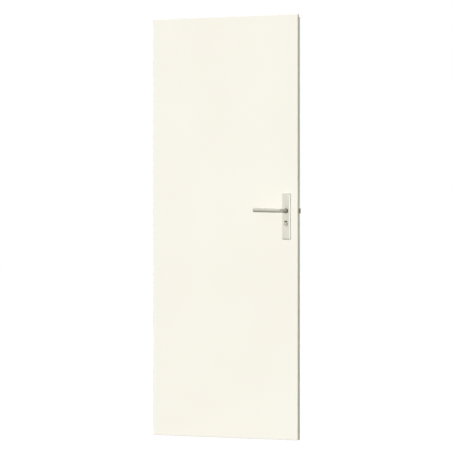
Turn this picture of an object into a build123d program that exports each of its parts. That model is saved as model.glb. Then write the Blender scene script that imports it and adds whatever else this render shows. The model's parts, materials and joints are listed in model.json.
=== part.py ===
from build123d import *
import math
import os

# Flush interior door leaf with an overlay lip, lever handles, a spring latch and a privacy bolt.
# Millimetres. The front face looks towards -Y, the lock edge towards +X and the top towards +Z.
# The origin lies on the hinge edge of the lip, half way through the lip, level with the foot of the leaf.

# Leaf
LEAF_W = 780.0
LEAF_H = 2015.0
LEAF_T = 40.0
LIP_T = 14.0
LIP_W = 7.0
LIP_TOP = 12.0
SKIN_T = 3.0
STILE_W = 50.0
RAIL_H = 60.0
ARRIS_R = 1.5
LOCK_BLOCK_W = 110.0
LOCK_BLOCK_MARGIN = 70.0

# Hinge drillings
HINGE_BORE_R = 3.5
HINGE_BORE_DEPTH = 42.0
HINGE_BORE_SPACING = 34.0
UPPER_HINGE_DROP = 235.0
HINGE_SPACING = 1435.0

# Mortise lock
LEVER_Z = 1085.0
PRIVACY_DROP = 63.0
BACKSET = 50.0
CASE_T = 14.0
CASE_DEPTH = 78.0
CASE_ABOVE = 42.0
CASE_BELOW = 36.0
CASE_WALL = 1.5
MORTISE_GAP = 0.75
FOREND_W = 20.0
FOREND_T = 3.0
FOREND_OVER = 18.0
SLIDE_GAP = 0.4
TURN_GAP = 0.3
LATCH_H = 24.0
LATCH_THROW = 11.0
LATCH_REST = 15.0
LATCH_NOSE = 2.5
BOLT_H = 22.0
BOLT_T = 8.0
BOLT_THROW = 14.0
BOLT_LENGTH = 30.0
TAIL_T = 4.0
TAIL_H = 9.0
LEVER_TURN = 45.0
PRIVACY_TURN = 90.0
FOLLOWER_R = 9.0
CAM_R = 7.0
ARM_W = 6.0
ARM_PLAY = 1.0
LATCH_RELIEF = 2.5
SPINDLE_W = 8.0
PRIVACY_SPINDLE_W = 6.0
SPINDLE_BORE_R = 6.8

# Handle plates
PLATE_W = 44.0
PLATE_T = 11.0
PLATE_ABOVE = 84.0
PLATE_BELOW = 136.0
PLATE_WALL = 1.8
PLATE_CORNER_R = 6.0
PLATE_BEVEL = 4.0
PLATE_RIM = 5.0
COLLAR_W = 2.0
COLLAR_PROUD = 3.0
BOSS_WALL = 2.5

# Levers
NECK_R = 9.5
NECK_FIT = 0.08
GRIP_OFFSET = 38.0
GRIP_LENGTH = 152.0
GRIP_ROOT_R = 9.0
GRIP_TIP_R = 10.2
GRIP_RISE = 1.6
SOCKET_DEPTH = 24.0

# Privacy set
RELEASE_R = 9.5
RELEASE_PROUD = 4.0
RELEASE_EDGE = 1.0
SHANK_R = 6.5
COIN_SLOT_L = 13.0
COIN_SLOT_W = 2.4
COIN_SLOT_DEPTH = 2.0
WINDOW_R = 9.2
WINDOW_RISE = 8.0
WINDOW_SILL = 0.4
WINDOW_W = 16.0
WINDOW_FOOT = 8.6
INDICATOR_T = 1.0
INDICATOR_GAP = 0.5
INDICATOR_LAP = 0.7
INDICATOR_POCKET = 0.6
INDICATOR_TAIL = 8.0
TURN_GRIP_L = 26.0
TURN_GRIP_W = 9.0
TURN_GRIP_H = 16.0

# Places that follow from the sizes above
FRONT_Y = -LIP_T / 2
LIP_BACK_Y = LIP_T / 2
BACK_Y = FRONT_Y + LEAF_T
MIDDLE_Y = (FRONT_Y + BACK_Y) / 2
FRAME_FRONT_Y = FRONT_Y + SKIN_T
FRAME_BACK_Y = BACK_Y - SKIN_T
BODY_X0 = LIP_W
BODY_X1 = LEAF_W - LIP_W
BODY_TOP = LEAF_H - LIP_TOP
LOCK_STILE_X = LEAF_W - STILE_W
LOCK_Y = (LIP_BACK_Y + BACK_Y) / 2
AXIS_X = BODY_X1 - BACKSET
PRIVACY_Z = LEVER_Z - PRIVACY_DROP
CASE_X1 = BODY_X1 - FOREND_T
CASE_X0 = CASE_X1 - CASE_DEPTH
CASE_TOP = LEVER_Z + CASE_ABOVE
CASE_FOOT = PRIVACY_Z - CASE_BELOW
FOREND_TOP = CASE_TOP + FOREND_OVER
FOREND_FOOT = CASE_FOOT - FOREND_OVER
BLOCK_TOP = FOREND_TOP + LOCK_BLOCK_MARGIN
BLOCK_FOOT = FOREND_FOOT - LOCK_BLOCK_MARGIN
PLATE_FACE_Y = FRONT_Y - PLATE_T
PLATE_TOP = LEVER_Z + PLATE_ABOVE
PLATE_FOOT = LEVER_Z - PLATE_BELOW
COLLAR_R = NECK_R + NECK_FIT + COLLAR_W
GRIP_Y = PLATE_FACE_Y - GRIP_OFFSET
NECK_END_Y = GRIP_Y - GRIP_ROOT_R - ARM_PLAY
LATCH_T = CASE_T - 2 * CASE_WALL - 2 * SLIDE_GAP
LATCH_ARM = LATCH_THROW / math.sin(math.radians(LEVER_TURN))
CAM_ARM = BOLT_THROW / (2 * math.sin(math.radians(PRIVACY_TURN / 2)))
INDICATOR_R = WINDOW_RISE + WINDOW_R + INDICATOR_LAP
INDICATOR_FRONT_Y = PLATE_FACE_Y + PLATE_WALL + INDICATOR_GAP


def slab(x0, x1, y0, y1, z0, z1):
    """A plain rectangular piece between six planes."""
    return Pos((x0 + x1) / 2, (y0 + y1) / 2, (z0 + z1) / 2) * Box(x1 - x0, y1 - y0, z1 - z0)


def through(outline, y0, y1):
    """An outline drawn in X and Z, carried through the leaf from y0 to y1."""
    face = Plane(origin=(0, y1, 0), x_dir=(1, 0, 0), z_dir=(0, -1, 0))
    return extrude(face * outline, amount=y1 - y0)


def rod(z, radius, y0, y1):
    """A round piece on the handle's vertical line, across the leaf from y0 to y1."""
    return through(Pos(AXIS_X, z) * Circle(radius), y0, y1)


def square_rod(z, width, y0, y1):
    """A square piece on the handle's vertical line, across the leaf from y0 to y1."""
    return through(Pos(AXIS_X, z) * Rectangle(width, width), y0, y1)


def panel(x0, x1, z0, z1):
    """A rectangle in X and Z."""
    return Pos((x0 + x1) / 2, (z0 + z1) / 2) * Rectangle(x1 - x0, z1 - z0)


def across(piece):
    """The same piece on the other face of the leaf."""
    return mirror(piece, about=Plane.XZ.offset(-MIDDLE_Y))


# Leaf: two skins over a frame of stiles and rails
front_skin = slab(0, LEAF_W, FRONT_Y, FRAME_FRONT_Y, 0, LEAF_H)
front_skin = fillet(front_skin.faces().sort_by(Axis.Y)[0].edges(), ARRIS_R)
back_skin = slab(BODY_X0, BODY_X1, FRAME_BACK_Y, BACK_Y, 0, BODY_TOP)
back_skin = fillet(back_skin.faces().sort_by(Axis.Y)[-1].edges(), ARRIS_R)

hinge_outline = Polyline(
    (STILE_W, FRAME_FRONT_Y),
    (0, FRAME_FRONT_Y),
    (0, LIP_BACK_Y),
    (BODY_X0, LIP_BACK_Y),
    (BODY_X0, FRAME_BACK_Y),
    (STILE_W, FRAME_BACK_Y),
    close=True,
)
hinge_stile = extrude(make_face(hinge_outline), amount=LEAF_H)
lock_stile = mirror(hinge_stile, about=Plane.YZ.offset(LEAF_W / 2))
top_rebate = slab(0, LEAF_W, LIP_BACK_Y, FRAME_BACK_Y, BODY_TOP, LEAF_H)
hinge_stile -= top_rebate
lock_stile -= top_rebate
top_rail = slab(STILE_W, LOCK_STILE_X, FRAME_FRONT_Y, FRAME_BACK_Y, LEAF_H - RAIL_H, LEAF_H) - top_rebate
bottom_rail = slab(STILE_W, LOCK_STILE_X, FRAME_FRONT_Y, FRAME_BACK_Y, 0, RAIL_H)
lock_block = slab(
    LOCK_STILE_X - LOCK_BLOCK_W, LOCK_STILE_X, FRAME_FRONT_Y, FRAME_BACK_Y, BLOCK_FOOT, BLOCK_TOP
)

# Hinge drillings, two to a hinge, in the edge of the lip
upper_hinge_z = BODY_TOP - UPPER_HINGE_DROP
for hinge_z in (upper_hinge_z, upper_hinge_z - HINGE_SPACING):
    for bore_z in (hinge_z - HINGE_BORE_SPACING / 2, hinge_z + HINGE_BORE_SPACING / 2):
        hinge_stile -= extrude(Plane.YZ * Pos(0, bore_z) * Circle(HINGE_BORE_R), amount=HINGE_BORE_DEPTH)

# Mortise for the lock case, with the sunk seat of the forend
mortise = slab(
    CASE_X0 - MORTISE_GAP,
    BODY_X1,
    LOCK_Y - CASE_T / 2 - MORTISE_GAP,
    LOCK_Y + CASE_T / 2 + MORTISE_GAP,
    CASE_FOOT - MORTISE_GAP,
    CASE_TOP + MORTISE_GAP,
)
forend_plane = Plane.YZ.offset(CASE_X1)
forend_middle = Pos(LOCK_Y, (FOREND_TOP + FOREND_FOOT) / 2)
forend_h = FOREND_TOP - FOREND_FOOT
forend_seat = forend_middle * SlotOverall(forend_h + 2 * TURN_GAP, FOREND_W + 2 * TURN_GAP, rotation=90)
lock_stile -= mortise
lock_stile -= extrude(forend_plane * forend_seat, amount=FOREND_T)
lock_block -= mortise

# Clear bores for the two spindles
lever_bore = rod(LEVER_Z, SPINDLE_BORE_R, FRONT_Y, BACK_Y)
privacy_bore = rod(PRIVACY_Z, SPINDLE_BORE_R, FRONT_Y, BACK_Y)
front_skin -= lever_bore + privacy_bore
back_skin -= lever_bore + privacy_bore
lock_block -= lever_bore + privacy_bore

# Lock case and forend
case_y0 = LOCK_Y - CASE_T / 2
case_y1 = LOCK_Y + CASE_T / 2
lock_case = slab(CASE_X0, CASE_X1, case_y0, case_y1, CASE_FOOT, CASE_TOP)
lock_case -= slab(
    CASE_X0 + CASE_WALL,
    CASE_X1,
    case_y0 + CASE_WALL,
    case_y1 - CASE_WALL,
    CASE_FOOT + CASE_WALL,
    CASE_TOP - CASE_WALL,
)
lock_case -= rod(LEVER_Z, FOLLOWER_R + TURN_GAP, case_y0, case_y1)
lock_case -= rod(PRIVACY_Z, CAM_R + TURN_GAP, case_y0, case_y1)
latch_hole = Pos(LOCK_Y, LEVER_Z) * Rectangle(LATCH_T + 2 * SLIDE_GAP, LATCH_H + 2 * SLIDE_GAP)
bolt_hole = Pos(LOCK_Y, PRIVACY_Z) * Rectangle(BOLT_T + 2 * SLIDE_GAP, BOLT_H + 2 * SLIDE_GAP)
forend_outline = forend_middle * SlotOverall(forend_h, FOREND_W, rotation=90) - latch_hole - bolt_hole
lock_forend = extrude(forend_plane * forend_outline, amount=FOREND_T)


def tail_outline(axis_z, hub_r, arm, notch_x, head_x, relief):
    """A flat tail over a hub, notched for the hub's arm, with relief where the arm's root swings past."""
    foot_z = axis_z + hub_r + ARM_PLAY
    top_z = axis_z + arm + ARM_W / 2 + ARM_PLAY + TAIL_H / 2
    reach = ARM_W / 2 + ARM_PLAY
    bar = panel(notch_x - reach - TAIL_H / 2, head_x, foot_z, top_z)
    return bar - panel(notch_x - reach, notch_x + reach + relief, foot_z, top_z - TAIL_H / 2)


def hub(axis_z, hub_r, arm, lean, bore_w):
    """A hub turning in the case with one round-ended arm, leaning by an angle from upright."""
    turned = through(Pos(AXIS_X, axis_z) * Circle(hub_r), case_y0, case_y1)
    shaft = Pos(0, arm / 2) * Rectangle(ARM_W, arm)
    finger = Pos(AXIS_X, axis_z) * Rot(Z=lean) * (shaft + Pos(0, arm) * Circle(ARM_W / 2))
    turned += through(finger, LOCK_Y - TAIL_T / 2, LOCK_Y + TAIL_T / 2)
    return turned - square_rod(axis_z, bore_w, case_y0, case_y1)


# Spring latch with a nose rounded on the closing side, and its follower
latch_tip_x = BODY_X1 + LATCH_THROW
latch_head_x = CASE_X1 - LATCH_REST
latch_y0 = LOCK_Y - LATCH_T / 2
latch_y1 = LOCK_Y + LATCH_T / 2
latch_side = Polyline(
    (latch_tip_x, latch_y0 + LATCH_NOSE), (latch_tip_x, latch_y0), (latch_head_x, latch_y0),
    (latch_head_x, latch_y1), (BODY_X1, latch_y1),
)
latch_bevel = TangentArc((BODY_X1, latch_y1), (latch_tip_x, latch_y0 + LATCH_NOSE), tangent=(1, 0))
latch_bolt = extrude(make_face(latch_side + latch_bevel), amount=LATCH_H)
latch_bolt = Pos(0, 0, LEVER_Z - LATCH_H / 2) * latch_bolt
latch_tail = tail_outline(LEVER_Z, FOLLOWER_R, LATCH_ARM, AXIS_X, latch_head_x, LATCH_RELIEF)
latch_bolt += through(latch_tail, LOCK_Y - TAIL_T / 2, LOCK_Y + TAIL_T / 2)
latch_bolt += slab(
    latch_head_x,
    latch_head_x + TAIL_H,
    LOCK_Y - TAIL_T / 2,
    LOCK_Y + TAIL_T / 2,
    LEVER_Z,
    LEVER_Z + LATCH_ARM + ARM_W / 2 + ARM_PLAY + TAIL_H / 2,
)
lock_follower = hub(LEVER_Z, FOLLOWER_R, LATCH_ARM, 0, SPINDLE_W)

# Privacy bolt, drawn back level with the forend, and its cam
bolt_head_x = BODY_X1 - BOLT_LENGTH
cam_rest_x = AXIS_X - BOLT_THROW / 2
privacy_bolt = slab(
    bolt_head_x,
    BODY_X1,
    LOCK_Y - BOLT_T / 2,
    LOCK_Y + BOLT_T / 2,
    PRIVACY_Z - BOLT_H / 2,
    PRIVACY_Z + BOLT_H / 2,
)
bolt_tail = tail_outline(PRIVACY_Z, CAM_R, CAM_ARM, cam_rest_x, bolt_head_x + TAIL_H, ARM_PLAY)
privacy_bolt += through(bolt_tail, LOCK_Y - TAIL_T / 2, LOCK_Y + TAIL_T / 2)
bolt_cam = hub(PRIVACY_Z, CAM_R, CAM_ARM, PRIVACY_TURN / 2, PRIVACY_SPINDLE_W)

# Handle plates: shallow bevelled shells, open at the back, with a hole for each collar
plate_outline = Pos(AXIS_X, (PLATE_TOP + PLATE_FOOT) / 2) * RectangleRounded(
    PLATE_W, PLATE_TOP - PLATE_FOOT, PLATE_CORNER_R
)
plate_shell = through(plate_outline, PLATE_FACE_Y, FRONT_Y)
plate_shell = chamfer(plate_shell.faces().sort_by(Axis.Y)[0].edges(), PLATE_BEVEL)
plate_shell -= through(offset(plate_outline, -PLATE_RIM), PLATE_FACE_Y + PLATE_WALL, FRONT_Y)
plate_shell -= rod(LEVER_Z, COLLAR_R, PLATE_FACE_Y, FRONT_Y)

# The window is a domed crescent over the release, narrow enough to show one colour of the disc at a time
window = Pos(AXIS_X, PRIVACY_Z + WINDOW_RISE) * Circle(WINDOW_R)
window -= Pos(AXIS_X, PRIVACY_Z) * Circle(RELEASE_R + TURN_GAP + WINDOW_SILL)
window_top = PRIVACY_Z + WINDOW_RISE + WINDOW_R
window &= panel(AXIS_X - WINDOW_W / 2, AXIS_X + WINDOW_W / 2, PRIVACY_Z + WINDOW_FOOT, window_top)
front_plate = plate_shell - through(window, PLATE_FACE_Y, FRONT_Y)
front_plate -= rod(PRIVACY_Z, INDICATOR_R + INDICATOR_POCKET, PLATE_FACE_Y + PLATE_WALL, FRONT_Y)
front_plate -= rod(PRIVACY_Z, RELEASE_R + TURN_GAP, PLATE_FACE_Y, FRONT_Y)
back_plate = plate_shell + rod(PRIVACY_Z, SHANK_R + TURN_GAP + BOSS_WALL, PLATE_FACE_Y + PLATE_WALL, FRONT_Y)
back_plate -= rod(PRIVACY_Z, SHANK_R + TURN_GAP, PLATE_FACE_Y, FRONT_Y)
back_plate = across(back_plate)

# Collars that carry the necks, standing on the leaf inside the plates
front_collar = rod(LEVER_Z, COLLAR_R, PLATE_FACE_Y - COLLAR_PROUD, FRONT_Y)
front_collar -= rod(LEVER_Z, NECK_R + NECK_FIT, PLATE_FACE_Y - COLLAR_PROUD, FRONT_Y)
back_collar = across(front_collar)

# Levers: a round neck with a grip standing out of its side, swelling and rising a little to the tip
neck = rod(LEVER_Z, NECK_R, NECK_END_Y, FRONT_Y - TURN_GAP)
grip_slope = math.tan(math.radians(GRIP_RISE))
grip_root = Plane(origin=(AXIS_X, GRIP_Y, LEVER_Z), x_dir=(0, 1, 0), z_dir=(-1, 0, grip_slope))
from_root = (Align.CENTER, Align.CENTER, Align.MIN)
grip = grip_root * Cone(GRIP_ROOT_R, GRIP_TIP_R, GRIP_LENGTH, align=from_root)
socket_y = FRONT_Y - TURN_GAP - SOCKET_DEPTH
front_lever = neck + grip - square_rod(LEVER_Z, SPINDLE_W, socket_y, FRONT_Y)
back_lever = across(front_lever)
lever_spindle = square_rod(LEVER_Z, SPINDLE_W, socket_y, 2 * MIDDLE_Y - socket_y)

# Privacy set: slotted release and colour fan in front, thumb turn behind, one spindle
release_plug = rod(PRIVACY_Z, RELEASE_R, PLATE_FACE_Y - RELEASE_PROUD, INDICATOR_FRONT_Y)
release_plug = chamfer(release_plug.faces().sort_by(Axis.Y)[0].edges(), RELEASE_EDGE)
coin_slot = Pos(AXIS_X, PRIVACY_Z) * SlotOverall(COIN_SLOT_L, COIN_SLOT_W)
coin_y = PLATE_FACE_Y - RELEASE_PROUD
release_plug -= through(coin_slot, coin_y, coin_y + COIN_SLOT_DEPTH)
release_plug -= square_rod(PRIVACY_Z, PRIVACY_SPINDLE_W, PLATE_FACE_Y, FRONT_Y)
# The fan covers the two quarters that pass behind the window
fan_h = INDICATOR_R + INDICATOR_TAIL
fan_side = Pos(0, INDICATOR_R - fan_h / 2) * Rectangle(2 * INDICATOR_R, fan_h)
fan = Rot(Z=PRIVACY_TURN / 2) * (Circle(INDICATOR_R) & fan_side)
fan_place = Pos(AXIS_X, PRIVACY_Z)
indicator_disc = through(fan_place * fan, INDICATOR_FRONT_Y, INDICATOR_FRONT_Y + INDICATOR_T)
indicator_disc -= square_rod(PRIVACY_Z, PRIVACY_SPINDLE_W, PLATE_FACE_Y, FRONT_Y)

turn_foot_y = PLATE_FACE_Y - TURN_GAP
turn_outline = Pos(AXIS_X, PRIVACY_Z) * SlotOverall(TURN_GRIP_L, TURN_GRIP_W, rotation=90)
thumb_turn = through(turn_outline, turn_foot_y - TURN_GRIP_H, turn_foot_y)
thumb_turn += rod(PRIVACY_Z, SHANK_R, turn_foot_y, FRONT_Y - TURN_GAP)
thumb_turn -= square_rod(PRIVACY_Z, PRIVACY_SPINDLE_W, PLATE_FACE_Y, FRONT_Y)
thumb_turn = across(thumb_turn)
privacy_spindle = square_rod(
    PRIVACY_Z, PRIVACY_SPINDLE_W, PLATE_FACE_Y, 2 * MIDDLE_Y - PLATE_FACE_Y
)

pieces = {
    "front_skin": front_skin,
    "back_skin": back_skin,
    "hinge_stile": hinge_stile,
    "lock_stile": lock_stile,
    "top_rail": top_rail,
    "bottom_rail": bottom_rail,
    "lock_block": lock_block,
    "lock_case": lock_case,
    "lock_forend": lock_forend,
    "latch_bolt": latch_bolt,
    "lock_follower": lock_follower,
    "privacy_bolt": privacy_bolt,
    "bolt_cam": bolt_cam,
    "front_plate": front_plate,
    "back_plate": back_plate,
    "front_collar": front_collar,
    "back_collar": back_collar,
    "front_lever": front_lever,
    "back_lever": back_lever,
    "lever_spindle": lever_spindle,
    "release_plug": release_plug,
    "indicator_disc": indicator_disc,
    "thumb_turn": thumb_turn,
    "privacy_spindle": privacy_spindle,
}
os.makedirs("parts", exist_ok=True)
for name, piece in pieces.items():
    piece.label = name
    export_step(piece, f"parts/{name}.step")
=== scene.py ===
import json
import math

import bmesh
import bpy
from mathutils import Matrix, Vector


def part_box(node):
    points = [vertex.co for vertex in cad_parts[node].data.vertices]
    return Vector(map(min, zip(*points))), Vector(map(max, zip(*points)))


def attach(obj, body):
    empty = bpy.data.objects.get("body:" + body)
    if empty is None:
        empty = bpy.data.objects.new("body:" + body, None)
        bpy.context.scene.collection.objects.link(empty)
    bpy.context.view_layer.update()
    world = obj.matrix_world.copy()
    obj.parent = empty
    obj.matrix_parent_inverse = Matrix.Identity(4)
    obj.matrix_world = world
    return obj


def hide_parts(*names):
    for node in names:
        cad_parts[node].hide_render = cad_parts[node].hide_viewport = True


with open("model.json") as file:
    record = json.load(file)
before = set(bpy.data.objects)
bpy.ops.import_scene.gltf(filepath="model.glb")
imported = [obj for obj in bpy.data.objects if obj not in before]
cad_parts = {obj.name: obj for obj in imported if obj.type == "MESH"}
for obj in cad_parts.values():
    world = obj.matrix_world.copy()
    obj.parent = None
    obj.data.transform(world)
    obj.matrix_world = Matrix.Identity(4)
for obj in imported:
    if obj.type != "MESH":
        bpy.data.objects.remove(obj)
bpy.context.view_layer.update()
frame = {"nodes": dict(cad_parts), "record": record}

MM = 0.001

# Camera: level with the middle of the leaf, turned towards the lock edge
CAMERA_PLACE = (6.6322, -11.9232, 1.0086)
CAMERA_TURN = 27.597
CAMERA_LENS = 222.64
CAMERA_SENSOR = 36.0
CAMERA_REACH = 200.0

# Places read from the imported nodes
FOREND_LOW, FOREND_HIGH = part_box("lock_forend")
BACK_PLATE_LOW, BACK_PLATE_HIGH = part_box("back_plate")
RELEASE_LOW, RELEASE_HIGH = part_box("release_plug")
FRONT_COLLAR_LOW, FRONT_COLLAR_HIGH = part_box("front_collar")
RELEASE_AXIS = (RELEASE_LOW + RELEASE_HIGH) / 2
LEVER_AXIS = (FRONT_COLLAR_LOW + FRONT_COLLAR_HIGH) / 2

# Patterns: the noise values where a tone starts and ends, and the repeats to a metre
TONE_START = 0.3
TONE_END = 0.7
PAINT_CLOUDS = 2.2
PAINT_GLOSS_CLOUDS = 60.0
ROLLER_SKIN = 620.0
BRUSH_MARKS = 90.0
METAL_BRUSHING = 30.0
NYLON_CLOUDS = 120.0
NYLON_SKIN = 1400.0
TIMBER_GROWTH = 55.0
INK_SKIN = 900.0

# Grain: the axis with the smallest number runs along it
NO_GRAIN = (1.0, 1.0, 1.0)
UPRIGHT_GRAIN = (30.0, 30.0, 0.6)
LEVER_GRAIN = (0.6, 30.0, 30.0)
NECK_GRAIN = (30.0, 0.6, 30.0)
LOCK_GRAIN = (20.0, 20.0, 1.0)
BRUSH_GRAIN = (1.0, 1.0, 0.06)
TIMBER_GRAIN = (1.0, 1.0, 0.05)

# Gloss: the roughness where a pattern starts and where it ends
PAINT_GLOSS = (0.42, 0.52)
PAINT_SHINE = 0.35
NYLON_GLOSS = (0.50, 0.62)
TIMBER_GLOSS = (0.62, 0.78)
INK_GLOSS = (0.34, 0.46)
SATIN = (0.36, 0.46)
BRIGHT = (0.18, 0.26)
DULL = (0.42, 0.52)
TURNED = (0.34, 0.44)
PLATED = (0.30, 0.42)

# Relief: its height, and how strongly it shows
ROLLER_RELIEF = (0.05 * MM, 0.35)
BRUSH_RELIEF = (0.08 * MM, 0.35)
METAL_RELIEF = (0.02 * MM, 0.20)
NYLON_RELIEF = (0.03 * MM, 0.30)
TIMBER_RELIEF = (0.20 * MM, 0.40)
INK_RELIEF = (0.02 * MM, 0.20)


def new_finish(name, metallic):
    """A node material with its shader, ready for its pattern."""
    material = bpy.data.materials.new(name)
    material.use_nodes = True
    shader = material.node_tree.nodes["Principled BSDF"]
    shader.inputs["Metallic"].default_value = metallic
    return material, material.node_tree, shader


def speckle(tree, scale, grain, detail):
    """Noise on the piece's own coordinates, drawn out along its grain."""
    place = tree.nodes.new("ShaderNodeTexCoord")
    stretch = tree.nodes.new("ShaderNodeMapping")
    stretch.inputs["Scale"].default_value = grain
    noise = tree.nodes.new("ShaderNodeTexNoise")
    noise.inputs["Scale"].default_value = scale
    noise.inputs["Detail"].default_value = detail
    tree.links.new(place.outputs["Object"], stretch.inputs["Vector"])
    tree.links.new(stretch.outputs["Vector"], noise.inputs["Vector"])
    return noise.outputs["Fac"]


def colour_between(tree, shader, pattern, low, high):
    """The base colour runs between two tones with the pattern."""
    ramp = tree.nodes.new("ShaderNodeValToRGB")
    ramp.color_ramp.elements[0].position = TONE_START
    ramp.color_ramp.elements[0].color = (*low, 1.0)
    ramp.color_ramp.elements[1].position = TONE_END
    ramp.color_ramp.elements[1].color = (*high, 1.0)
    tree.links.new(pattern, ramp.inputs["Fac"])
    tree.links.new(ramp.outputs["Color"], shader.inputs["Base Color"])


def gloss_between(tree, shader, pattern, gloss):
    """The roughness runs between two levels with the pattern."""
    span = tree.nodes.new("ShaderNodeMapRange")
    span.inputs["From Min"].default_value = TONE_START
    span.inputs["From Max"].default_value = TONE_END
    span.inputs["To Min"].default_value = gloss[0]
    span.inputs["To Max"].default_value = gloss[1]
    tree.links.new(pattern, span.inputs["Value"])
    tree.links.new(span.outputs["Result"], shader.inputs["Roughness"])


def raise_relief(tree, shader, pattern, relief):
    """The pattern stands out of the surface by a little."""
    bump = tree.nodes.new("ShaderNodeBump")
    bump.inputs["Distance"].default_value = relief[0]
    bump.inputs["Strength"].default_value = relief[1]
    tree.links.new(pattern, bump.inputs["Height"])
    tree.links.new(bump.outputs["Normal"], shader.inputs["Normal"])


def paint_finish(name, low, high, marks, grain, relief):
    """Satin paint with faint clouds of tone and the marks of the tool that laid it on."""
    material, tree, shader = new_finish(name, 0.0)
    colour_between(tree, shader, speckle(tree, PAINT_CLOUDS, NO_GRAIN, 3.0), low, high)
    gloss_between(tree, shader, speckle(tree, PAINT_GLOSS_CLOUDS, NO_GRAIN, 4.0), PAINT_GLOSS)
    raise_relief(tree, shader, speckle(tree, marks, grain, 2.0), relief)
    shader.inputs["Specular IOR Level"].default_value = PAINT_SHINE
    return material


def metal_finish(name, low, high, grain, metallic, gloss):
    """Brushed metal, with fine lines along its grain."""
    material, tree, shader = new_finish(name, metallic)
    brushing = speckle(tree, METAL_BRUSHING, grain, 5.0)
    colour_between(tree, shader, brushing, low, high)
    gloss_between(tree, shader, brushing, gloss)
    raise_relief(tree, shader, brushing, METAL_RELIEF)
    return material


def nylon_finish(name, low, high):
    """Moulded nylon with a fine matt skin."""
    material, tree, shader = new_finish(name, 0.0)
    skin = speckle(tree, NYLON_SKIN, NO_GRAIN, 2.0)
    colour_between(tree, shader, speckle(tree, NYLON_CLOUDS, NO_GRAIN, 4.0), low, high)
    gloss_between(tree, shader, skin, NYLON_GLOSS)
    raise_relief(tree, shader, skin, NYLON_RELIEF)
    return material


def timber_finish(name, low, high):
    """Sawn timber with its grain running up the leaf."""
    material, tree, shader = new_finish(name, 0.0)
    growth = speckle(tree, TIMBER_GROWTH, TIMBER_GRAIN, 6.0)
    colour_between(tree, shader, growth, low, high)
    gloss_between(tree, shader, growth, TIMBER_GLOSS)
    raise_relief(tree, shader, growth, TIMBER_RELIEF)
    return material


def indicator_finish(name, free_colour, taken_colour):
    """Printed disc: one colour up and to the right, the other down and to the left of its axis."""
    material, tree, shader = new_finish(name, 0.0)
    place = tree.nodes.new("ShaderNodeTexCoord")
    centre = tree.nodes.new("ShaderNodeMapping")
    centre.inputs["Location"].default_value = -RELEASE_AXIS
    parts = tree.nodes.new("ShaderNodeSeparateXYZ")
    side = tree.nodes.new("ShaderNodeMath")
    side.operation = "ADD"
    split = tree.nodes.new("ShaderNodeMath")
    split.operation = "GREATER_THAN"
    split.inputs[1].default_value = 0.0
    print_colour = tree.nodes.new("ShaderNodeMix")
    print_colour.data_type = "RGBA"
    print_colour.inputs["A"].default_value = (*taken_colour, 1.0)
    print_colour.inputs["B"].default_value = (*free_colour, 1.0)
    tree.links.new(place.outputs["Object"], centre.inputs["Vector"])
    tree.links.new(centre.outputs["Vector"], parts.inputs["Vector"])
    tree.links.new(parts.outputs["X"], side.inputs[0])
    tree.links.new(parts.outputs["Z"], side.inputs[1])
    tree.links.new(side.outputs["Value"], split.inputs[0])
    tree.links.new(split.outputs["Value"], print_colour.inputs["Factor"])
    tree.links.new(print_colour.outputs["Result"], shader.inputs["Base Color"])
    ink = speckle(tree, INK_SKIN, NO_GRAIN, 2.0)
    gloss_between(tree, shader, ink, INK_GLOSS)
    raise_relief(tree, shader, ink, INK_RELIEF)
    return material


FACE_PAINT = paint_finish(
    "face_paint", (0.900, 0.872, 0.782), (0.916, 0.890, 0.802), ROLLER_SKIN, NO_GRAIN, ROLLER_RELIEF
)
# Edge paint on the stiles and rails: partly an olive tint of the edges' own paint, partly painted shade,
# darker than the face paint where the lock edge stands in shade
EDGE_PAINT_AND_SHADE = paint_finish(
    "edge_paint_and_painted_shade", (0.800, 0.792, 0.612), (0.816, 0.808, 0.640), BRUSH_MARKS, BRUSH_GRAIN, BRUSH_RELIEF
)
PLATE_METAL = metal_finish(
    "plate_aluminium", (0.690, 0.680, 0.585), (0.740, 0.730, 0.635), UPRIGHT_GRAIN, 0.30, SATIN
)
BEVEL_METAL = metal_finish(
    "plate_bright_bevel", (0.920, 0.915, 0.830), (0.950, 0.945, 0.860), UPRIGHT_GRAIN, 0.90, BRIGHT
)
# Plate end slopes: a darker copy of the plate aluminium, painted shade for the bevel that faces down
END_SLOPE_SHADE = metal_finish(
    "plate_end_bevel_painted_shade", (0.560, 0.552, 0.470), (0.610, 0.602, 0.520), UPRIGHT_GRAIN, 0.20, DULL
)
# Plate sides: a darker copy of the plate aluminium, painted shade on the faces that stand square to the
# leaf
PLATE_SIDE_SHADE = metal_finish(
    "plate_side_painted_shade", (0.420, 0.415, 0.350), (0.480, 0.475, 0.410), UPRIGHT_GRAIN, 0.30, SATIN
)
LEVER_METAL = metal_finish(
    "lever_aluminium", (0.490, 0.485, 0.415), (0.550, 0.545, 0.475), LEVER_GRAIN, 0.10, DULL
)
# Lever neck: a darker tone on the aluminium lever's neck, painted shade for the flank that faces away
# from the lamps
LEVER_NECK_SHADE = metal_finish(
    "lever_neck_painted_shade", (0.370, 0.365, 0.300), (0.430, 0.425, 0.360), NECK_GRAIN, 0.20, TURNED
)
RELEASE_METAL = metal_finish(
    "release_aluminium", (0.600, 0.595, 0.525), (0.660, 0.655, 0.585), LEVER_GRAIN, 0.20, TURNED
)
FOREND_METAL = metal_finish(
    "forend_steel", (0.585, 0.580, 0.495), (0.645, 0.640, 0.555), LOCK_GRAIN, 0.50, PLATED
)
LOCK_STEEL = metal_finish(
    "lock_steel", (0.200, 0.200, 0.150), (0.260, 0.260, 0.200), LOCK_GRAIN, 0.55, PLATED
)
COLLAR_NYLON = nylon_finish("collar_nylon", (0.030, 0.029, 0.024), (0.045, 0.044, 0.036))
BLOCK_TIMBER = timber_finish("block_timber", (0.52, 0.36, 0.20), (0.70, 0.53, 0.34))
DISC_PRINT = indicator_finish("disc_print", (0.095, 0.125, 0.018), (0.420, 0.030, 0.025))

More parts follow.
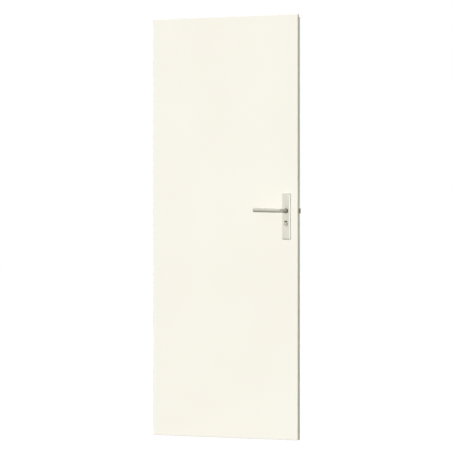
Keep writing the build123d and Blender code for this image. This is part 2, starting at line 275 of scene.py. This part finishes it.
FINISHES = {
    "front_skin": FACE_PAINT,
    "back_skin": FACE_PAINT,
    # the stiles and rails take the edge paint, darkened as painted shade
    "hinge_stile": EDGE_PAINT_AND_SHADE,
    "lock_stile": EDGE_PAINT_AND_SHADE,
    "top_rail": EDGE_PAINT_AND_SHADE,
    "bottom_rail": EDGE_PAINT_AND_SHADE,
    "lock_block": BLOCK_TIMBER,
    "lock_case": LOCK_STEEL,
    "lock_forend": FOREND_METAL,
    "latch_bolt": LOCK_STEEL,
    "lock_follower": LOCK_STEEL,
    "privacy_bolt": LOCK_STEEL,
    "bolt_cam": LOCK_STEEL,
    "front_plate": PLATE_METAL,
    "back_plate": PLATE_METAL,
    "front_collar": COLLAR_NYLON,
    "back_collar": COLLAR_NYLON,
    "front_lever": LEVER_METAL,
    "back_lever": LEVER_METAL,
    "lever_spindle": LOCK_STEEL,
    "release_plug": RELEASE_METAL,
    "indicator_disc": DISC_PRINT,
    "thumb_turn": PLATE_METAL,
    "privacy_spindle": LOCK_STEEL,
}
for node_name, finish in FINISHES.items():
    node = frame["nodes"][node_name]
    node.data.materials.clear()
    node.data.materials.append(finish)

BODY_OF = {
    node_name: body
    for body, members in frame["record"]["behaviour"]["bodies"].items()
    for node_name in members
}


def add_piece(name, mesh_maker, finish, body):
    """Turns a finished bmesh into a piece that rides on a body and takes its finish from a slot."""
    mesh = bpy.data.meshes.new(name)
    mesh_maker.to_mesh(mesh)
    mesh_maker.free()
    mesh.shade_smooth()
    mesh.materials.append(finish)
    piece = bpy.data.objects.new(name, mesh)
    bpy.context.scene.collection.objects.link(piece)
    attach(piece, body)
    return piece


# Rounding: the edges that count as crisp, and the steps in each rounded edge
CRISP_ANGLE = math.radians(28.0)
ROUNDING_STEPS = 3
MERGE_GAP = 0.002 * MM
FLAT_ANGLE = math.radians(0.3)

# Faces that take a second finish: the limits of their slope, and how far they reach
SLOPE_LOW = 0.6
SLOPE_HIGH = 0.8
SQUARE_LIMIT = 0.1
NECK_REACH = 10.0 * MM
RELEASE_FRONT = 0.1 * MM


def round_edges(piece, width):
    """Rounds the piece's crisp edges and keeps its flats flat."""
    rounding = piece.modifiers.new("rounded_edges", "BEVEL")
    rounding.width = width
    rounding.segments = ROUNDING_STEPS
    rounding.limit_method = "ANGLE"
    rounding.angle_limit = CRISP_ANGLE
    rounding.harden_normals = True
    rounding.material = -1


def refinish(piece, finish, picked):
    """Gives another finish to the faces of a piece that a test picks."""
    piece.data.materials.append(finish)
    for face in piece.data.polygons:
        if picked(face):
            face.material_index = len(piece.data.materials) - 1


def on_long_slope(face):
    """True for the sloping faces along both long sides of a plate."""
    return SLOPE_LOW < abs(face.normal.y) < SLOPE_HIGH and abs(face.normal.x) > abs(face.normal.z)


def on_end_slope(face):
    """True for the sloping faces across the two ends of a plate, which take a darker tone as painted
    shade.
    """
    return SLOPE_LOW < abs(face.normal.y) < SLOPE_HIGH and abs(face.normal.x) <= abs(face.normal.z)


def on_side(face):
    """True for the faces of a plate that stand square to the leaf."""
    return abs(face.normal.y) < SQUARE_LIMIT


def on_neck(face):
    """True for the faces of a lever that lie within its neck."""
    return math.hypot(face.center.x - LEVER_AXIS.x, face.center.z - LEVER_AXIS.z) < NECK_REACH


def on_release_painted_shade(face):
    """True for the side, the cut edge and the slot of the release, all but its front; these take a dark
    steel tone as painted shade.
    """
    return face.center.y > RELEASE_LOW.y + RELEASE_FRONT


def rounded_copy(node_name, width):
    """A merged copy of a CAD node with rounded edges, shown in its place."""
    worked = bmesh.new()
    worked.from_mesh(frame["nodes"][node_name].data)
    bmesh.ops.remove_doubles(worked, verts=worked.verts[:], dist=MERGE_GAP)
    bmesh.ops.dissolve_limit(worked, angle_limit=FLAT_ANGLE, verts=worked.verts[:], edges=worked.edges[:])
    piece = add_piece(
        node_name + "_rounded", worked, FINISHES[node_name], BODY_OF[node_name]
    )
    round_edges(piece, width)
    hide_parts(node_name)
    return piece


# The plates' end slopes get a darker tone as painted shade
# The plates' sides, square to the leaf, get a darker tone as painted shade
PLATE_FINISHES = ((BEVEL_METAL, on_long_slope), (END_SLOPE_SHADE, on_end_slope), (PLATE_SIDE_SHADE, on_side))
# The lever's neck gets a darker tone as painted shade
LEVER_FINISHES = ((LEVER_NECK_SHADE, on_neck),)
MORE_FINISHES = {
    "front_plate": PLATE_FINISHES,
    "back_plate": PLATE_FINISHES,
    "front_lever": LEVER_FINISHES,
    "back_lever": LEVER_FINISHES,
    # the release's side, cut edge and slot take the dark lock steel as painted shade
    "release_plug": ((LOCK_STEEL, on_release_painted_shade),),
}
EDGE_ROUNDING = {
    "front_lever": 1.6 * MM,
    "back_lever": 1.6 * MM,
    "front_plate": 0.5 * MM,
    "back_plate": 0.5 * MM,
    "front_collar": 0.4 * MM,
    "back_collar": 0.4 * MM,
    "release_plug": 0.25 * MM,
    "thumb_turn": 1.4 * MM,
    "latch_bolt": 0.4 * MM,
}
for node_name, width in EDGE_ROUNDING.items():
    rounded = rounded_copy(node_name, width)
    for finish, picked in MORE_FINISHES.get(node_name, ()):
        refinish(rounded, finish, picked)

# Screw heads: shares of the head's height and radius
HEAD_SIDES = 40
HEAD_DOME = 0.6
DOME_STEPS = 4
RECESS_ARM = 0.58
RECESS_HALF_WIDTH = 0.15
RECESS_DEPTH = 0.7
NEAR_TOP = 0.9
LEVEL_FACE = 0.99
HEAD_CRISP_ANGLE = math.radians(35.0)


def screw_head(name, centre, outward, radius, height, finish, body):
    """A domed screw head with a cross recess, standing on a surface that faces outward."""
    made = bmesh.new()
    bmesh.ops.create_cone(
        made, cap_ends=True, segments=HEAD_SIDES, radius1=radius, radius2=radius, depth=height,
        matrix=Matrix.Translation((0.0, 0.0, height / 2)),
    )
    top_ring = [e for e in made.edges if all(v.co.z > height * NEAR_TOP for v in e.verts)]
    bmesh.ops.bevel(
        made, geom=top_ring, offset=height * HEAD_DOME, offset_type="OFFSET", affect="EDGES",
        segments=DOME_STEPS, profile=0.5, material=-1,
    )
    arm = radius * RECESS_ARM
    half_width = radius * RECESS_HALF_WIDTH
    for direction in ((1.0, 0.0, 0.0), (0.0, 1.0, 0.0)):
        for offset in (-arm, -half_width, half_width, arm):
            cap = [f for f in made.faces if f.normal.z > LEVEL_FACE]
            cap_edges = {e for f in cap for e in f.edges}
            cap_verts = {v for f in cap for v in f.verts}
            bmesh.ops.bisect_plane(
                made, geom=[*cap, *cap_edges, *cap_verts],
                plane_co=Vector(direction) * offset, plane_no=direction,
            )
    recess = []
    for face in made.faces:
        middle = face.calc_center_median()
        across = sorted((abs(middle.x), abs(middle.y)))
        if face.normal.z > LEVEL_FACE and across[0] < half_width and across[1] < arm:
            recess.append(face)
    sunk = bmesh.ops.extrude_face_region(made, geom=recess)
    sunk_verts = [v for v in sunk["geom"] if isinstance(v, bmesh.types.BMVert)]
    bmesh.ops.translate(made, verts=sunk_verts, vec=(0.0, 0.0, -height * RECESS_DEPTH))
    bmesh.ops.delete(made, geom=recess, context="FACES_ONLY")
    bmesh.ops.recalc_face_normals(made, faces=made.faces[:])
    turn = Vector((0.0, 0.0, 1.0)).rotation_difference(Vector(outward)).to_matrix().to_4x4()
    bmesh.ops.transform(made, matrix=Matrix.Translation(centre) @ turn, verts=made.verts[:])
    piece = add_piece(name, made, finish, body)
    piece.data.set_sharp_from_angle(angle=HEAD_CRISP_ANGLE)


# Two screws hold the forend in the edge of the leaf
HEAD_SUNK = 0.2 * MM
FOREND_SCREW_R = 3.6 * MM
FOREND_SCREW_HEIGHT = 0.9 * MM
FOREND_SCREW_INSET = 9.0 * MM
FOREND_SCREW_X = FOREND_HIGH.x - HEAD_SUNK
FOREND_SCREW_Y = (FOREND_LOW.y + FOREND_HIGH.y) / 2
FOREND_SCREW_Z = {
    "upper": FOREND_HIGH.z - FOREND_SCREW_INSET,
    "lower": FOREND_LOW.z + FOREND_SCREW_INSET,
}
for place, z in FOREND_SCREW_Z.items():
    screw_head(
        f"forend_screw_{place}", (FOREND_SCREW_X, FOREND_SCREW_Y, z), (1.0, 0.0, 0.0),
        FOREND_SCREW_R, FOREND_SCREW_HEIGHT, FOREND_METAL, "leaf",
    )

# Two through-bolts draw the plates together, with their heads on the back plate
PLATE_BOLT_R = 4.0 * MM
PLATE_BOLT_HEIGHT = 1.6 * MM
PLATE_BOLT_INSET = 20.0 * MM
PLATE_BOLT_Y = BACK_PLATE_HIGH.y - HEAD_SUNK
PLATE_BOLT_Z = {
    "upper": BACK_PLATE_HIGH.z - PLATE_BOLT_INSET,
    "lower": BACK_PLATE_LOW.z + PLATE_BOLT_INSET,
}
for place, z in PLATE_BOLT_Z.items():
    screw_head(
        f"plate_bolt_{place}", (LEVER_AXIS.x, PLATE_BOLT_Y, z), (0.0, 1.0, 0.0),
        PLATE_BOLT_R, PLATE_BOLT_HEIGHT, LOCK_STEEL, "leaf",
    )

# Floor: pale, white to the eye, and still darker where the leaf shades it
FLOOR_SIZE = 80.0
FLOOR_GLOW = 0.90
FLOOR_COLOUR = (0.12, 0.12, 0.115, 1.0)
floor_made = bmesh.new()
bmesh.ops.create_grid(floor_made, x_segments=1, y_segments=1, size=FLOOR_SIZE / 2)
floor_mesh = bpy.data.meshes.new("floor")
floor_made.to_mesh(floor_mesh)
floor_made.free()
floor = bpy.data.objects.new("floor", floor_mesh)
bpy.context.scene.collection.objects.link(floor)


def seen_directly(tree):
    """One for camera, mirror and glass rays, and nothing for the rays that light the object."""
    path = tree.nodes.new("ShaderNodeLightPath")
    first = tree.nodes.new("ShaderNodeMath")
    first.operation = "MAXIMUM"
    both = tree.nodes.new("ShaderNodeMath")
    both.operation = "MAXIMUM"
    tree.links.new(path.outputs["Is Camera Ray"], first.inputs[0])
    tree.links.new(path.outputs["Is Glossy Ray"], first.inputs[1])
    tree.links.new(first.outputs["Value"], both.inputs[0])
    tree.links.new(path.outputs["Is Transmission Ray"], both.inputs[1])
    return both.outputs["Value"]


floor_finish = bpy.data.materials.new("pale_floor")
floor_finish.use_nodes = True
floor_tree = floor_finish.node_tree
floor_tree.nodes.remove(floor_tree.nodes["Principled BSDF"])
floor_matt = floor_tree.nodes.new("ShaderNodeBsdfDiffuse")
floor_matt.inputs["Color"].default_value = FLOOR_COLOUR
floor_glow = floor_tree.nodes.new("ShaderNodeEmission")
floor_level = floor_tree.nodes.new("ShaderNodeMath")
floor_level.operation = "MULTIPLY"
floor_level.inputs[1].default_value = FLOOR_GLOW
floor_sum = floor_tree.nodes.new("ShaderNodeAddShader")
floor_tree.links.new(seen_directly(floor_tree), floor_level.inputs[0])
floor_tree.links.new(floor_level.outputs["Value"], floor_glow.inputs["Strength"])
floor_tree.links.new(floor_matt.outputs["BSDF"], floor_sum.inputs[0])
floor_tree.links.new(floor_glow.outputs["Emission"], floor_sum.inputs[1])
floor_tree.links.new(floor_sum.outputs["Shader"], floor_tree.nodes["Material Output"].inputs["Surface"])
floor_mesh.materials.append(floor_finish)

# World: a plain soft fill for the object, white behind it
WHITE = (1.0, 1.0, 1.0, 1.0)
FILL_STRENGTH = 0.25
BACKGROUND_STRENGTH = 1.0
world = bpy.data.worlds.new("studio")
bpy.context.scene.world = world
world.use_nodes = True
world_tree = world.node_tree
fill = world_tree.nodes["Background"]
fill.inputs["Color"].default_value = WHITE
fill.inputs["Strength"].default_value = FILL_STRENGTH
background = world_tree.nodes.new("ShaderNodeBackground")
background.inputs["Color"].default_value = WHITE
background.inputs["Strength"].default_value = BACKGROUND_STRENGTH
world_mix = world_tree.nodes.new("ShaderNodeMixShader")
world_tree.links.new(seen_directly(world_tree), world_mix.inputs["Fac"])
world_tree.links.new(fill.outputs["Background"], world_mix.inputs[1])
world_tree.links.new(background.outputs["Background"], world_mix.inputs[2])
world_tree.links.new(world_mix.outputs["Shader"], world_tree.nodes["World Output"].inputs["Surface"])

# Lamps: a broad distant lamp for each face; the front one stands higher and casts no shadow
LAMP_TURN = 6.5
FRONT_LAMP_RISE = 36.0
FRONT_LAMP_BREADTH = 40.0
FRONT_LAMP_STRENGTH = 3.30
BACK_LAMP_RISE = 10.0
BACK_LAMP_BREADTH = 44.0
BACK_LAMP_STRENGTH = 2.75


def broad_lamp(name, turn, rise, breadth, strength):
    """A broad distant lamp, turned about the leaf and raised above the floor."""
    lamp = bpy.data.lights.new(name, "SUN")
    lamp.energy = strength
    lamp.angle = math.radians(breadth)
    stand = bpy.data.objects.new(name, lamp)
    stand.rotation_euler = (math.radians(90.0 - rise), 0.0, math.radians(turn))
    stand.visible_glossy = False
    bpy.context.scene.collection.objects.link(stand)
    return lamp


front_lamp = broad_lamp(
    "front_lamp", LAMP_TURN, FRONT_LAMP_RISE, FRONT_LAMP_BREADTH, FRONT_LAMP_STRENGTH
)
front_lamp.use_shadow = False
broad_lamp("back_lamp", 180.0 - LAMP_TURN, BACK_LAMP_RISE, BACK_LAMP_BREADTH, BACK_LAMP_STRENGTH)

camera_data = bpy.data.cameras.new("photo_camera")
camera_data.lens = CAMERA_LENS
camera_data.sensor_width = CAMERA_SENSOR
camera_data.clip_end = CAMERA_REACH
camera = bpy.data.objects.new("photo_camera", camera_data)
camera.location = CAMERA_PLACE
camera.rotation_euler = (math.radians(90.0), 0.0, math.radians(CAMERA_TURN))
bpy.context.scene.collection.objects.link(camera)
bpy.context.scene.camera = camera

bpy.context.scene.view_settings.view_transform = "Standard"
